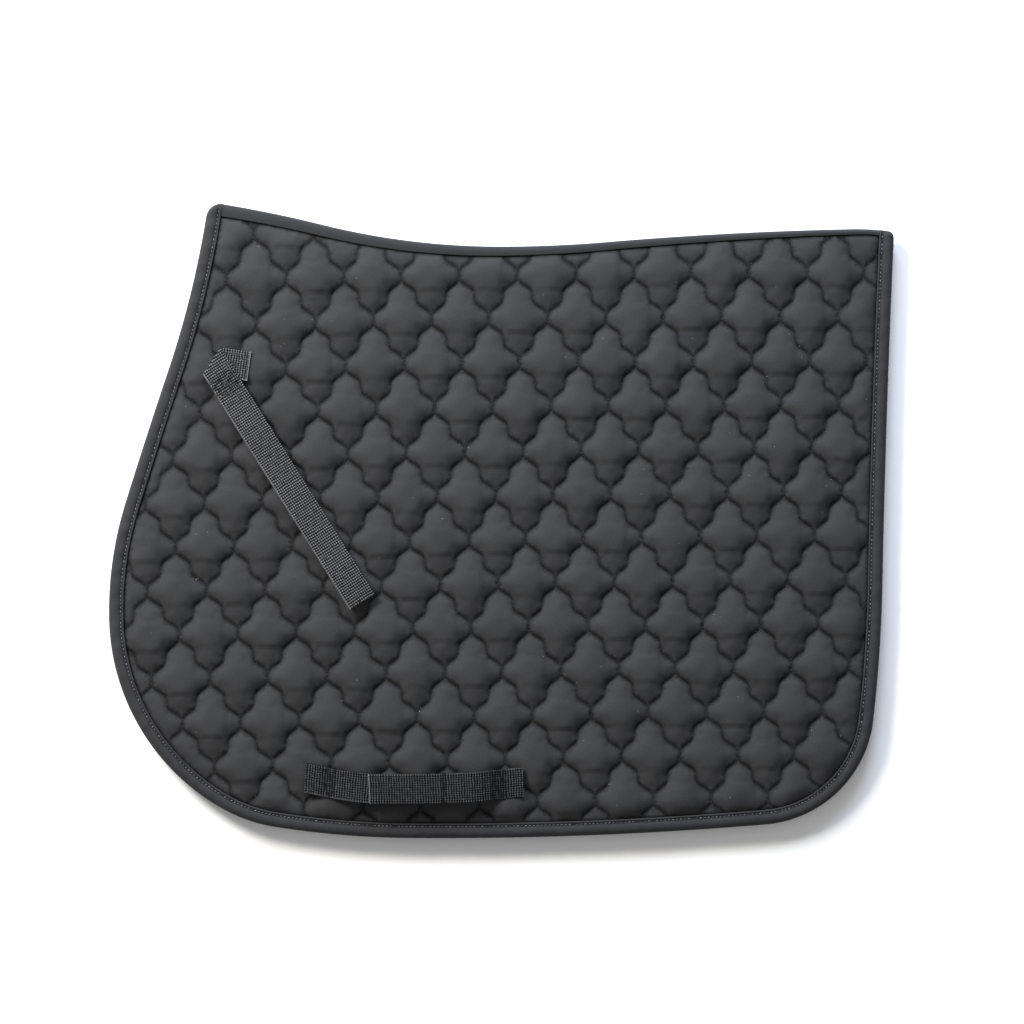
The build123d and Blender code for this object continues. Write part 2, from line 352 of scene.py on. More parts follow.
def lattice_place(right, left):
    """Place of a lattice point. Whole numbers of right or left are stitch lines."""
    even = even_place(right, left)
    return even + wander(even)


def lattice_numbers(places):
    """The inverse of lattice_place."""
    even = places
    for _ in range(3):
        even = places - wander(even)
    x, y = (even - TOUCH_POINT).T

    def left_of(right):
        return (y - RIGHT_STEP[1] * right) / LEFT_STEP[1]

    slope = RIGHT_STEP[0] - LEFT_STEP[0] * RIGHT_STEP[1] / LEFT_STEP[1]
    guess = (x - LEFT_STEP[0] * y / LEFT_STEP[1]) / slope
    right = bisect(
        guess - 0.3, guess + 0.3, lambda n: even_place(n, left_of(n))[:, 0] < even[:, 0]
    )
    return right, left_of(right)


def stitch_lines(spacing):
    """The stitch lines inside the margins, each as points at an even spacing, with headings."""
    fine = np.linspace(-LATTICE_REACH, LATTICE_REACH, 2 * LATTICE_REACH * 60 + 1)
    for number in range(-LATTICE_REACH, LATTICE_REACH + 1):
        for line in (lattice_place(fine * 0 + number, fine), lattice_place(fine, fine * 0 + number)):
            run = run_along(line)
            marks = np.arange(0, run[-1], spacing)
            places = np.stack([np.interp(marks, run, line[:, k]) for k in (0, 1)], -1)
            ahead = np.gradient(places, axis=0)
            keep = margins(places) > 0
            if keep.any():
                yield places[keep], np.arctan2(ahead[keep, 1], ahead[keep, 0])


def border_line(edge_inset, spine_inset, spacing):
    """Closed line at an inset from the edge and from the spine, which may vary with X."""
    front = edge_end(edge_inset, spine_inset(-270.0), True)
    rear = edge_end(edge_inset, spine_inset(300.0), False)
    runs = np.linspace(front, rear, int((rear - front) / spacing))
    along_edge = edge.at(runs, edge_inset)[0]
    ends = spine.measure(along_edge[[-1, 0]])[1]
    runs = np.linspace(ends[0], ends[1], int(abs(ends[1] - ends[0]) / spacing))[1:-1]
    wide = spine_inset(spine.at(runs, 0)[0][:, 0])
    return np.concatenate([along_edge, spine.at(runs, wide)[0]])


def search_tree(places):
    """Finds the nearest of some places."""
    tree = KDTree(len(places))
    for number, (x, y) in enumerate(places):
        tree.insert((x, y, 0), number)
    tree.balance()
    return tree


def distance_from(others, places):
    """How far each place is from the nearest of the others."""
    tree = search_tree(others)
    return np.array([tree.find((x, y, 0))[2] for x, y in places])


def away_from(places, others, distance):
    """The places that are further than a distance from all the others."""
    return places[distance_from(others, places) > distance]


def quilt_plan(spacing, line_spacing):
    """Triangles over one half, with rows of points along every stitch line and border."""
    rim = border_line(PANEL_EDGE, lambda x: PANEL_SPINE + 0 * x, 2.0)
    into = [np.maximum(FRONT_CORNER - inset, 0) for inset in insets(rim)]
    rounded = (np.minimum(*into) > 0) & (np.hypot(*into) > FRONT_CORNER - 2.2)
    rim = rim[~rounded | (rim[:, 0] > 0)]
    border = border_line(BINDING_INSIDE, tape_width, line_spacing)
    lines = list(stitch_lines(line_spacing))
    seams = np.concatenate([places for places, _ in lines] + [border])
    row = 0.55 * line_spacing
    beside = []
    for places, heading in lines:
        normal = np.stack([-np.sin(heading), np.cos(heading)], -1)
        beside += [places + normal * row, places - normal * row]
    beside = away_from(np.concatenate(beside), seams, 0.8 * row)
    low, high = rim.min(0), rim.max(0)
    rows = np.arange(low[1], high[1], spacing * math.sqrt(0.75))
    inside = []
    for number, y in enumerate(rows):
        x = np.arange(low[0] + number % 2 * spacing / 2, high[0], spacing)
        inside.append(np.column_stack([x, np.full(len(x), y)]))
    inside = np.concatenate(inside)
    from_edge, from_spine = insets(inside)
    inside = inside[(from_edge > PANEL_EDGE + 1) & (from_spine > PANEL_SPINE + 1)]
    inside = away_from(inside, np.concatenate([seams, beside]), 0.55 * spacing)
    seams = away_from(seams, rim, 0.7)
    beside = beside[margins(beside) > 0.8]
    points = np.concatenate([rim, seams, beside, inside])
    places, _, faces, origins, _, _ = delaunay_2d_cdt(
        [Vector(p) for p in points], [], [list(range(len(rim)))], 1, 1e-5
    )
    places = np.array([tuple(p) for p in places])
    faces = np.array(faces)
    a, b, c = (places[faces[:, k]] for k in range(3))
    turned = (b - a)[:, 0] * (c - a)[:, 1] - (b - a)[:, 1] * (c - a)[:, 0] < 0
    faces[turned] = faces[turned][:, ::-1]
    where = {old: new for new, olds in enumerate(origins) for old in olds}
    plan = SimpleNamespace(places=places, faces=faces, rim=[where[k] for k in range(len(rim))])
    plan.seam = distance_from(seams, places)
    plan.margin = margins(places)
    plan.right, plan.left = lattice_numbers(places)
    plan.held = (plan.seam < 0.25) | (plan.margin < 0.05)
    plan.puff = inflate(plan)
    return plan


def inflate(plan, rounds=450):
    """Rise of a stretched membrane under even pressure, held at the stitch lines and border."""
    corners = [plan.places[plan.faces[:, k]] for k in range(3)]
    count = len(plan.places)
    starts, ends, weights = [], [], []
    area = np.zeros(count)
    for k in range(3):
        here, after, before = (corners[(k + n) % 3] for n in range(3))
        u, v = after - here, before - here
        cross = np.abs(u[:, 0] * v[:, 1] - u[:, 1] * v[:, 0]) + 1e-9
        cotangent = np.maximum((u * v).sum(1) / cross, 0.02) / 2
        one, other = plan.faces[:, (k + 1) % 3], plan.faces[:, (k + 2) % 3]
        starts += [one, other]
        ends += [other, one]
        weights += [cotangent, cotangent]
        area += np.bincount(plan.faces[:, k], cross / 6, count)
    starts, ends, weights = (np.concatenate(v) for v in (starts, ends, weights))
    total = np.bincount(starts, weights, count) + 1e-9
    rise = np.zeros(count)
    for _ in range(rounds):
        rise = (np.bincount(starts, weights * rise[ends], count) + area) / total
        rise[plan.held] = 0
    return rise / np.percentile(rise, 97)


def strap_footprints(side):
    """Each strap's rectangle on a half: origin, angle, start, end, and the level under it."""
    billet, girth, _ = BASES[side]
    strap_end = STRAP_LENGTH + STRAP_END_LENGTH
    under_strap = billet + (0.5 if side == "near" else 0.0)
    return [
        (FOLD_CENTRE, STRAP_ANGLE, -2.0, strap_end, under_strap - 0.1),
        (FOLD_CENTRE, TAB_ANGLE, -2.0, TAB_LENGTH, billet - 0.15),
        (FRONT_SEWN, FRONT_ANGLE, 0.0, ANCHOR_LENGTH if side == "near" else FRONT_LENGTH, girth - 0.15),
        (REAR_SEWN, REAR_ANGLE, 0.0, ANCHOR_LENGTH if side == "near" else REAR_LENGTH, girth - 0.15),
    ]


def pressed(places, side):
    """The highest level that the straps leave to the cover at each place."""
    limit = np.full(len(places), 99.0)
    for origin, angle, start, end, level in strap_footprints(side):
        along = (places - origin) @ direction(angle)
        across = np.abs((places - origin) @ direction(angle + 90)) - WEB_WIDTH / 2
        out = np.hypot(np.maximum(np.maximum(start - along, along - end), 0), np.maximum(across, 0))
        limit = np.minimum(limit, level + 3.8 * np.maximum(out / 2.2 - 0.45, 0) ** 1.4)
    return limit


def upright(places):
    """How upright the nearest stitch line runs at each place, from 0 to 1."""
    right, left = lattice_numbers(places)
    nearer_right = np.abs(right - np.round(right)) < np.abs(left - np.round(left))
    phase = np.where(nearer_right, left, right)
    return (0.5 + 0.5 * np.cos(4 * np.pi * phase)) ** 1.5


def valley_level(places):
    """Level of the stitch lines, which climbs from the margins."""
    deep = VALLEY + UPRIGHT_LIFT * upright(places)
    return MARGIN_LEVEL + (deep - MARGIN_LEVEL) * smooth(margins(places) / MARGIN_RISE)


def billow(plan, seed):
    """The cover's rise above the stitch lines, up to about 1: slack cloth under pressure."""
    start = np.clip(plan.puff, 0, 1.6) ** PUFF_POWER
    mesh = bpy.data.meshes.new("slack_cover")
    points = np.column_stack([plan.places, 2.5 * start]) * SIM_SCALE
    mesh.from_pydata(points.tolist(), [], plan.faces.tolist())
    cloth = add_object("slack_cover", mesh)
    pins = cloth.vertex_groups.new(name="pins")
    pins.add(np.nonzero(plan.held)[0].tolist(), 1.0, "REPLACE")
    slack = cloth.vertex_groups.new(name="slack")
    looseness = np.clip(0.5 + 0.35 * ripples(plan.places, 60, 20 + seed), 0, 1)
    for number, weight in enumerate(looseness):
        slack.add([number], float(weight), "REPLACE")
    modifier = cloth.modifiers.new("Cloth", "CLOTH")
    for setting, value in SIM_CLOTH.items():
        setattr(modifier.settings, setting, value)
    modifier.settings.effector_weights.gravity = 0
    modifier.collision_settings.use_collision = False
    modifier.point_cache.frame_start = 1
    modifier.point_cache.frame_end = SIM_FRAMES
    for frame_number in range(1, SIM_FRAMES + 1):
        scene.frame_set(frame_number)
    result = cloth.evaluated_get(bpy.context.evaluated_depsgraph_get()).data
    moved = np.empty(len(result.vertices) * 3)
    result.vertices.foreach_get("co", moved)
    rise = moved.reshape(-1, 3)[:, 2] / SIM_SCALE
    bpy.data.objects.remove(cloth)
    bpy.data.meshes.remove(mesh)
    scene.frame_set(1)
    ends = np.concatenate([plan.faces[:, [0, 1]], plan.faces[:, [1, 2]], plan.faces[:, [2, 0]]])
    ends = np.concatenate([ends, ends[:, ::-1]])
    count = np.maximum(np.bincount(ends[:, 0], minlength=len(rise)), 1)
    for _ in range(3):
        around = np.bincount(ends[:, 0], rise[ends[:, 1]], len(rise)) / count
        rise = np.where(plan.held, 0, (rise + around) / 2)
    return SIM_SHARE * np.maximum(rise, 0) / np.percentile(rise, 97) + (1 - SIM_SHARE) * start


def lowest_near(places, plan, levels, neighbours=7):
    """The lowest of the nearest levels of another plan, at each place."""
    tree = search_tree(plan.places)
    found = (tree.find_n((x, y, 0), neighbours) for x, y in places)
    return np.array([min(levels[number] for _, number, _ in near) for near in found])


def cover_levels(plan, side):
    """Outer surface of the cover."""
    seed = SIDES.index(side)
    dome = billow(plan, seed)
    valley = valley_level(plan.places)
    column, row = np.floor(plan.right).astype(int), np.floor(plan.left).astype(int)
    dice = np.random.default_rng(40 + seed)
    fills = dice.normal(1, 0.045, (4 * LATTICE_REACH, 4 * LATTICE_REACH))
    fill = fills[column + 2 * LATTICE_REACH, row + 2 * LATTICE_REACH]
    crown = VALLEY + PUFF * fill
    level = valley + (crown - valley) * dome
    slack = np.sqrt(np.clip(plan.puff, 0, 1))
    from_centre = plan.places - lattice_place(column + 0.5, row + 0.5)
    from_centre = from_centre + 0.5 * ripples(plan.places, 45, 50 + seed)[:, None]
    for number, (axis, place, depth, step) in enumerate(CREASES):
        off = np.exp(-((from_centre[:, axis] - place) / CREASE_WIDTH) ** 2)
        reach = 1 - smooth(np.abs(from_centre[:, 1 - axis]) / CREASE_REACH - 0.35)
        strength = np.clip(1 + 0.6 * ripples(plan.places, 75, 52 + 5 * seed + number), 0.05, 2)
        beyond = smooth((from_centre[:, axis] / place - 0.93) / 0.25)
        level -= (depth * off + step * beyond) * reach * slack * strength
    pucker = np.exp(-plan.seam / 4.5) * np.clip(plan.seam / 1.2, 0, 1)
    level += 0.3 * pucker * ripples(plan.places, 6, 54 + seed)
    level += 0.13 * slack * ripples(plan.places, 24, 56 + seed)
    level = below(level, COVER_LIMIT[side])
    return np.maximum(below(level, pressed(plan.places, side), 0.2), MARGIN_LEVEL)


def lining_levels(plan, side):
    """Inner surface of the lining, which faces the other half."""
    seed = SIDES.index(side)
    valley = LINING_MARGIN + (LINING_VALLEY - LINING_MARGIN) * smooth(plan.margin / MARGIN_RISE)
    crown = np.clip(plan.puff, 0, 1.2) ** PUFF_POWER
    level = valley + (LINING_CROWN - valley) * crown
    return np.maximum(level + 0.06 * crown * ripples(plan.places, 18, 60 + seed), 0.32)


# ---- meshes ----

def make_mesh(name, points, faces, side, cloth, shade, material):
    """Closed mesh from points whose third value is a level, with its cloth coordinates."""
    points = np.array(points, float)
    points[:, 2] = MID_PLANE + points[:, 2] * (1 if side == "near" else -1)
    order = 1 if side == "near" else -1
    faces = [[int(number) for number in face][::order] for face in faces]
    mesh = bpy.data.meshes.new(name)
    mesh.from_pydata((points * MM).tolist(), [], faces)
    mesh.polygons.foreach_set("use_smooth", np.ones(len(mesh.polygons), bool))
    corners = np.empty(len(mesh.loops), int)
    mesh.loops.foreach_get("vertex_index", corners)
    layer = mesh.uv_layers.new(name="cloth")
    layer.data.foreach_set("uv", (np.asarray(cloth)[corners] * MM).astype(np.float32).ravel())
    mesh.attributes.new("shade", "FLOAT", "POINT").data.foreach_set(
        "value", np.asarray(shade, np.float32))
    mesh.materials.append(material)
    mesh.update()
    piece = add_object(name, mesh)
    return piece


def slab(name, side, high_plan, high, low_plan, low, shade, material, low_shade=1.0):
    """Closed piece between two levels. The two plans share their rim."""
    count = len(high_plan.places)
    points = np.concatenate([
        np.column_stack([high_plan.places, high]), np.column_stack([low_plan.places, low])
    ])
    faces = high_plan.faces.tolist() + (low_plan.faces[:, ::-1] + count).tolist()
    top, bottom = high_plan.rim, [k + count for k in low_plan.rim]
    for k in range(len(top)):
        after = (k + 1) % len(top)
        faces.append((top[k], bottom[k], bottom[after], top[after]))
    shades = np.concatenate([shade, np.broadcast_to(low_shade, len(low_plan.places))])
    return make_mesh(name, points, faces, side, points[:, :2], shades, material)


def grid_faces(rows, columns, offset=0, closed=False, flip=False):
    """Quads of a grid of points, whose columns may close into a ring."""
    number = np.arange(rows * columns).reshape(rows, columns) + offset
    if closed:
        number = np.concatenate([number, number[:, :1]], 1)
    quads = np.stack([number[:-1, :-1], number[1:, :-1], number[1:, 1:], number[:-1, 1:]], -1)
    quads = quads.reshape(-1, 4)
    return (quads[:, ::-1] if flip else quads).tolist()


def strip_mesh(name, side, runs, place, width, thickness, relief, shade, material, step=0.6):
    """Closed strip of webbing or tape. place(run, across, rise) gives points and levels.

    Returns the piece, and how far along and across the strip each of its points lies."""
    across = np.linspace(-width / 2, width / 2, int(width / step) + 1)
    run, over = (v.ravel() for v in np.meshgrid(runs, across, indexing="ij"))
    rounded = np.sqrt(1 - 0.75 * np.abs(2 * over / width) ** 16)
    bump = relief(run, over)
    rise = thickness / 2 * rounded
    high, low = place(run, over, rise + bump), place(run, over, -rise - bump)
    rows, columns = len(runs), len(across)
    count = rows * columns
    faces = grid_faces(rows, columns, 0) + grid_faces(rows, columns, count, flip=True)
    number = np.arange(count).reshape(rows, columns)
    outline = np.concatenate([number[:, 0], number[-1, 1:], number[-2::-1, -1], number[0, -2:0:-1]])
    after = np.roll(outline, -1)
    faces += np.stack([outline, outline + count, after + count, after], -1)[:, ::-1].tolist()
    cloth, tone = pairs(run, over), shade(run, over)
    piece = make_mesh(name, np.concatenate([high, low]), faces, side, np.concatenate([cloth, cloth]),
                      np.concatenate([tone, tone]), material)
    return piece, np.tile(run, 2), np.tile(over, 2)


def threads(name, side, places, levels, headings, length, girth, material):
    """Small sewn stitches, each a spindle lying on the cloth."""
    ring = [(math.cos(a) * girth / 2, math.sin(a) * girth / 2)
            for a in np.radians((45, 135, 225, 315))]
    form = [(-length / 2, 0, -0.3 * girth)]
    form += [(-length / 4, a, b) for a, b in ring] + [(length / 4, a, b) for a, b in ring]
    form = np.array(form + [(length / 2, 0, -0.3 * girth)])
    sides = [(0, 1 + (k + 1) % 4, 1 + k) for k in range(4)]
    sides += [(1 + k, 1 + (k + 1) % 4, 5 + (k + 1) % 4, 5 + k) for k in range(4)]
    sides += [(9, 5 + k, 5 + (k + 1) % 4) for k in range(4)]
    cos, sin = np.cos(headings)[:, None], np.sin(headings)[:, None]
    x = places[:, :1] + cos * form[:, 0] - sin * form[:, 1]
    y = places[:, 1:2] + sin * form[:, 0] + cos * form[:, 1]
    level = levels[:, None] + form[:, 2]
    points = np.stack([x, y, level], -1).reshape(-1, 3)
    faces = [tuple(v + len(form) * k for v in face) for k in range(len(places)) for face in sides]
    tone = np.repeat(0.65 + 0.3 * ripples(places, 5, 70), len(form))
    return make_mesh(name, points, faces, side, points[:, :2], tone, material)


# ---- materials ----

def cloth_material(name, dark, light, roughness, sheen, weave, weave_depth, mottle, specks=0.0,
                   webbing=False):
    """Woven cloth: tone from the shade attribute, mottling, lint, and a fine weave in relief."""
    material = bpy.data.materials.new(name)
    material.use_nodes = True
    nodes, link = material.node_tree.nodes, material.node_tree.links.new

    def put(socket, value):
        """Links an input to another node's output, or sets it to a number."""
        if isinstance(value, bpy.types.NodeSocket):
            link(value, socket)
        else:
            socket.default_value = value

    def feed(node, **inputs):
        """Puts values in a node's inputs, with _ for a space in their names."""
        for socket, value in inputs.items():
            put(node.inputs[socket.replace("_", " ")], value)
        return node

    def new(kind, **settings):
        node = nodes.new("ShaderNode" + kind)
        for name, value in settings.items():
            setattr(node, name, value)
        return node

    def combine(operation, *values):
        node = new("Math", operation=operation)
        for socket, value in zip(node.inputs, values):
            put(socket, value)
        return node.outputs[0]

    def noise(scale, detail):
        return feed(new("TexNoise"), Scale=scale, Detail=detail, Vector=uv).outputs["Fac"]

    def spread(value, low, high):
        """Stretches a noise's usual range over another."""
        ends = {"From_Min": 0.3, "From_Max": 0.7, "To_Min": low, "To_Max": high}
        return feed(new("MapRange"), Value=value, **ends).outputs["Result"]

    def yarn(axis, pitch, power, scale):
        """Rounded yarns that lie across an axis and stray a little."""
        stray = combine("MULTIPLY", noise(scale, 1), WEAVE_SLIP * MM)
        phase = combine("MULTIPLY", combine("ADD", axis, stray), math.pi / (pitch * MM))
        return combine("POWER", combine("ABSOLUTE", combine("SINE", phase)), power)

    surface = feed(nodes["Principled BSDF"], Roughness=roughness, Sheen_Weight=sheen,
                   Sheen_Roughness=0.5, Specular_IOR_Level=0.08)
    uv = new("UVMap", uv_map="cloth").outputs["UV"]
    shade = new("Attribute", attribute_name="shade").outputs["Fac"]
    along, across, _ = feed(new("SeparateXYZ"), Vector=uv).outputs
    tone = shade
    if webbing:
        yarns = combine("MULTIPLY", yarn(along, RIB, 4.0, 170), yarn(across, CORD, 1.4, 210))
        # Painted highlight: only the selvedge on one side of the webbing is lightened and its dark yarn
        # slots filled in, as if the light caught that edge.
        over = combine("MULTIPLY", across, -1)
        selvedge_highlight = combine("MULTIPLY", combine("SUBTRACT", over, (WEB_WIDTH / 2 - SELVEDGE) * MM), 2500)
        selvedge_highlight = combine("MAXIMUM", combine("MINIMUM", selvedge_highlight, 0.42), 0)
        melted = combine("MAXIMUM", combine("SUBTRACT", shade, 1), 0)
        tone = combine("ADD", combine("MULTIPLY", combine("MAXIMUM", yarns, selvedge_highlight), shade), melted)
    mixed = feed(new("Mix", data_type="RGBA"), Factor=tone, A=(*dark, 1), B=(*light, 1))
    grain = combine("MULTIPLY", spread(noise(1100, 2), 1 - mottle, 1 + mottle),
                    spread(noise(28, 3), 1 - mottle / 2, 1 + mottle / 2))
    result = new("VectorMath", operation="SCALE")
    link(mixed.outputs["Result"], result.inputs[0])
    result = feed(result, Scale=grain).outputs[0]
    if specks:
        dots = feed(new("TexVoronoi"), Scale=120, Vector=uv).outputs["Distance"]
        lint = combine("MULTIPLY", combine("LESS_THAN", dots, 0.045),
                       combine("GREATER_THAN", noise(45, 1), 0.56))
        dusted = feed(new("Mix", data_type="RGBA"), Factor=lint, A=result, B=(specks, specks, specks, 1))
        result = dusted.outputs["Result"]
    waves = [combine("SINE", combine("MULTIPLY", axis, 2 * math.pi / (weave * MM)))
             for axis in (along, across)]
    height = combine("ADD", combine("MULTIPLY", combine("MULTIPLY", *waves), 0.5),
                     combine("MULTIPLY", noise(2400, 2), 1.2))
    bump = feed(new("Bump"), Strength=0.6, Distance=weave_depth * MM, Height=height)
    feed(surface, Base_Color=result, Normal=bump.outputs["Normal"])
    return material


# darkest and lightest colour; roughness, sheen, pitch and depth of the weave in mm, mottling
CLOTH = {name: cloth_material(name, *look) for name, *look in (
    ("quilted_cover", (0.002, 0.002, 0.0025), (0.031, 0.031, 0.0325), 0.92, 0.03, 0.5, 0.05, 0.17, 0.15),
    ("lining_cloth", (0.008, 0.008, 0.009), (0.028, 0.028, 0.030), 0.92, 0.15, 0.7, 0.06, 0.10),
    # the wadding is painted dark like the cover, not its own pale colour, so that where it shows through
    # gaps at the rim it reads as shade
    ("wadding_fibre", (0.012, 0.012, 0.013), (0.035, 0.035, 0.037), 0.95, 0.3, 1.3, 0.2, 0.12),
    ("binding_tape", (0.005, 0.005, 0.006), (0.028, 0.028, 0.030), 0.85, 0.05, 0.7, 0.07, 0.12),
    ("webbing", (0.001, 0.001, 0.0012), (0.19, 0.19, 0.197), 0.75, 0.02, 0.8, 0.06, 0.2, 0.0, True),
    ("hook_tape", (0.007, 0.007, 0.008), (0.03, 0.03, 0.032), 0.6, 0.0, 1.1, 0.12, 0.06),
    ("loop_tape", (0.01, 0.01, 0.011), (0.046, 0.046, 0.049), 0.97, 0.4, 0.6, 0.15, 0.2),
    ("sewing_thread", (0.013, 0.013, 0.014), (0.08, 0.08, 0.083), 0.6, 0.1, 0.35, 0.03, 0.15),
    ("binding_thread", (0.01, 0.01, 0.011), (0.17, 0.17, 0.178), 0.5, 0.1, 0.35, 0.03, 0.15),
    ("quilting_thread", (0.003, 0.003, 0.0035), (0.036, 0.036, 0.039), 0.6, 0.1, 0.35, 0.03, 0.15),
)}


# ---- a piece's points, and their distance from the spine ----

def places_of(piece):
    """A piece's points in millimetres."""
    found = np.empty(len(piece.data.vertices) * 3)
    piece.data.vertices.foreach_get("co", found)
    return found.reshape(-1, 3) / MM


def pass_over(piece, values):
    """Lays a piece's points along X at a value for each point, applies its transform, and puts the
    points back.
    """
    places = places_of(piece)
    line = np.column_stack([values, 0 * values, 0 * values])
    for points, blend in ((line, True), (places, False)):
        piece.data.vertices.foreach_set("co", (points * MM).ravel())
        piece.data.update()
        if blend:
            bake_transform(piece)


def bend_at_spine(piece, side=None):
    """Measures how far each point lies from the curved spine, outward on its own half, for pass_over."""
    x, y, z = places_of(piece).T
    near = z > MID_PLANE if side is None else side == "near"
    away = (spine_height(x) - y) * np.where(near, 1, -1)
    pass_over(piece, away)


# ---- the quilted sandwich ----
fine_plan = quilt_plan(2.6, 2.0)
middle_plan = quilt_plan(4.0, 2.8)
coarse_plan = quilt_plan(6.0, 4.5)

for side in SIDES:
    # Painted shade: the cover is drawn darker within a few mm of its stitch lines, less where they run
    # upright, and darkest along the binding and the spine tape, where shade falls in the grooves.
    painted_groove_shade = np.clip(smooth(fine_plan.seam / 2.5) + 0.45 * upright(fine_plan.places), 0.1, 1)
    painted_groove_shade = painted_groove_shade * smooth((fine_plan.margin - 0.5) / 1.8)
    outside = cover_levels(fine_plan, side)
    inside = lowest_near(coarse_plan.places, fine_plan, outside) - FABRIC
    cover = slab(f"{side}_quilted_cover", side, fine_plan, outside, coarse_plan, inside,
                 painted_groove_shade, CLOTH["quilted_cover"])
    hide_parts(f"{side}_outer_cover")
    fill = slab(f"{side}_wadding_fill", side, coarse_plan, inside - 0.15,
                coarse_plan, lining_levels(coarse_plan, side) + FABRIC + 0.12,
                np.ones(len(coarse_plan.places)), CLOTH["wadding_fibre"])
    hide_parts(f"{side}_wadding")
    # Painted shade: the lining's inner side is drawn darker within about 2 mm of its stitch lines, where
    # shade falls in the grooves.
    lining = slab(f"{side}_lining_cloth", side, coarse_plan, lining_levels(coarse_plan, side) + FABRIC,
                  middle_plan, lining_levels(middle_plan, side), np.ones(len(coarse_plan.places)),
                  CLOTH["lining_cloth"], smooth(middle_plan.seam / 1.9))
    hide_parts(f"{side}_lining")
    for piece in (cover, fill, lining):
        bend_at_spine(piece, side)

    lines = list(stitch_lines(STITCH_PITCH))
    places = np.concatenate([line for line, _ in lines])
    headings = np.concatenate([heading for _, heading in lines])
    inner = margins(places) > 1.0
    places, headings = places[inner], headings[inner]
    sewing = threads(f"{side}_quilting_thread", side, places, valley_level(places) + 0.1, headings,
                     STITCH_LENGTH, 0.42, CLOTH["quilting_thread"])
    bend_at_spine(sewing, side)


# ---- edge binding ----
def binding_ring(side):
    """The binding's section at each distance along the edge, drawn to its rounded ends."""
    section = np.array(BINDING_OUTSIDE + BINDING_INNER)
    inset, level = section[:, 0], section[:, 1]

    def reach(front, corner):
        short = np.clip(corner - inset, 0, corner)
        return edge_end(inset, corner - np.sqrt(corner ** 2 - short ** 2), front)

    front, rear = reach(True, FRONT_CORNER), reach(False, REAR_CORNER)
    first, last = front.min(), rear.max()
    zone = 45.0  # length of each end, where the sections crowd together and slant
    crowd = zone * (1 - np.cos(np.linspace(0, np.pi / 2, 40)))
    even = np.arange(first, last, 2.2)
    even = even[(even > first + zone + 1) & (even < last - zone - 1)]
    runs = np.concatenate([first + crowd, even, (last - crowd)[::-1]])
    run = runs[:, None] + 0 * inset
    head = np.clip((first + zone - run) / zone, 0, 1)
    tail = np.clip((run - last + zone) / zone, 0, 1)
    run = run + head * (front - first) - tail * (last - rear)
    flat = edge.at(run, np.broadcast_to(inset, run.shape))[0]
    from_spine = spine.measure(flat.reshape(-1, 2))[0].reshape(run.shape)
    corner = np.where(flat[..., 0] < 0, FRONT_CORNER, REAR_CORNER)
    short = [np.maximum(corner - inner, 0) for inner in (inset + 0 * run, from_spine)]
    from_end = np.maximum(corner - np.hypot(*short), 0)

    def nose(distance):
        """Share of the full height at a distance from a rounded edge."""
        return np.sqrt(1 - (1 - np.clip(distance / 4.5, 0.01, 1)) ** 2)

    seed = SIDES.index(side)
    lengthwise = pairs(run, inset * 0.5)
    uneven = ripples(lengthwise, 11, 80 + seed).reshape(run.shape)
    slow = ripples(lengthwise, 60, 82 + seed).reshape(run.shape)
    outside = np.arange(len(section)) < len(BINDING_OUTSIDE)
    soft = outside * smooth((level - 3) / 1.5)
    closing = nose(from_end) / nose(np.minimum(inset, corner))
    levels = NOSE_LEVEL + (level + soft * (0.14 * uneven + 0.12 * slow) - NOSE_LEVEL) * closing
    return flat, levels, run, inset


def swept(name, side, flat, levels, along, round_it, tone, outward):
    """Closed band through rings of points, with capped ends. outward is 1 or -1, for its winding."""
    rows, columns = levels.shape
    points = np.column_stack([flat.reshape(-1, 2), levels.ravel()])
    faces = grid_faces(rows, columns, closed=True, flip=outward > 0)
    faces.append(tuple(range(columns))[::outward])
    faces.append(tuple(range((rows - 1) * columns, rows * columns))[::-outward])
    return make_mesh(name, points, faces, side, pairs(along, round_it),
                     np.broadcast_to(tone, levels.shape).ravel(), CLOTH["binding_tape"])


for side in SIDES:
    flat, levels, run, inset = binding_ring(side)
    round_it = run_along(np.array(BINDING_OUTSIDE + BINDING_INNER))
    # Painted shade and highlight: the binding is drawn darker along the groove its stitch row presses
    # in, and lighter along its raised inner edge, where the light catches it.
    stitch_groove_shade = 1 - 0.75 * np.exp(-((inset - STITCH_INSET) / 0.9) ** 2)
    lip_highlight = 1 + 0.45 * np.exp(-((inset - 12.0) / 0.5) ** 2)
    piece = swept(f"{side}_binding", side, flat, levels, run, round_it, stitch_groove_shade * lip_highlight, 1)
    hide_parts(f"{side}_edge_binding")
    bend_at_spine(piece, side)

    first = edge_end(STITCH_INSET, 4.0, True)
    last = edge_end(STITCH_INSET, 4.0, False)
    runs = np.arange(first, last, 3.4)
    places, headings = edge.at(runs, STITCH_INSET)
    oblique = 0.16
    piece = threads(f"{side}_binding_thread", side, places, np.full(len(runs), 4.95),
                    headings + oblique, 2.3, 0.75, CLOTH["binding_thread"])
    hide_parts(f"{side}_binding_stitching")
    bend_at_spine(piece, side)


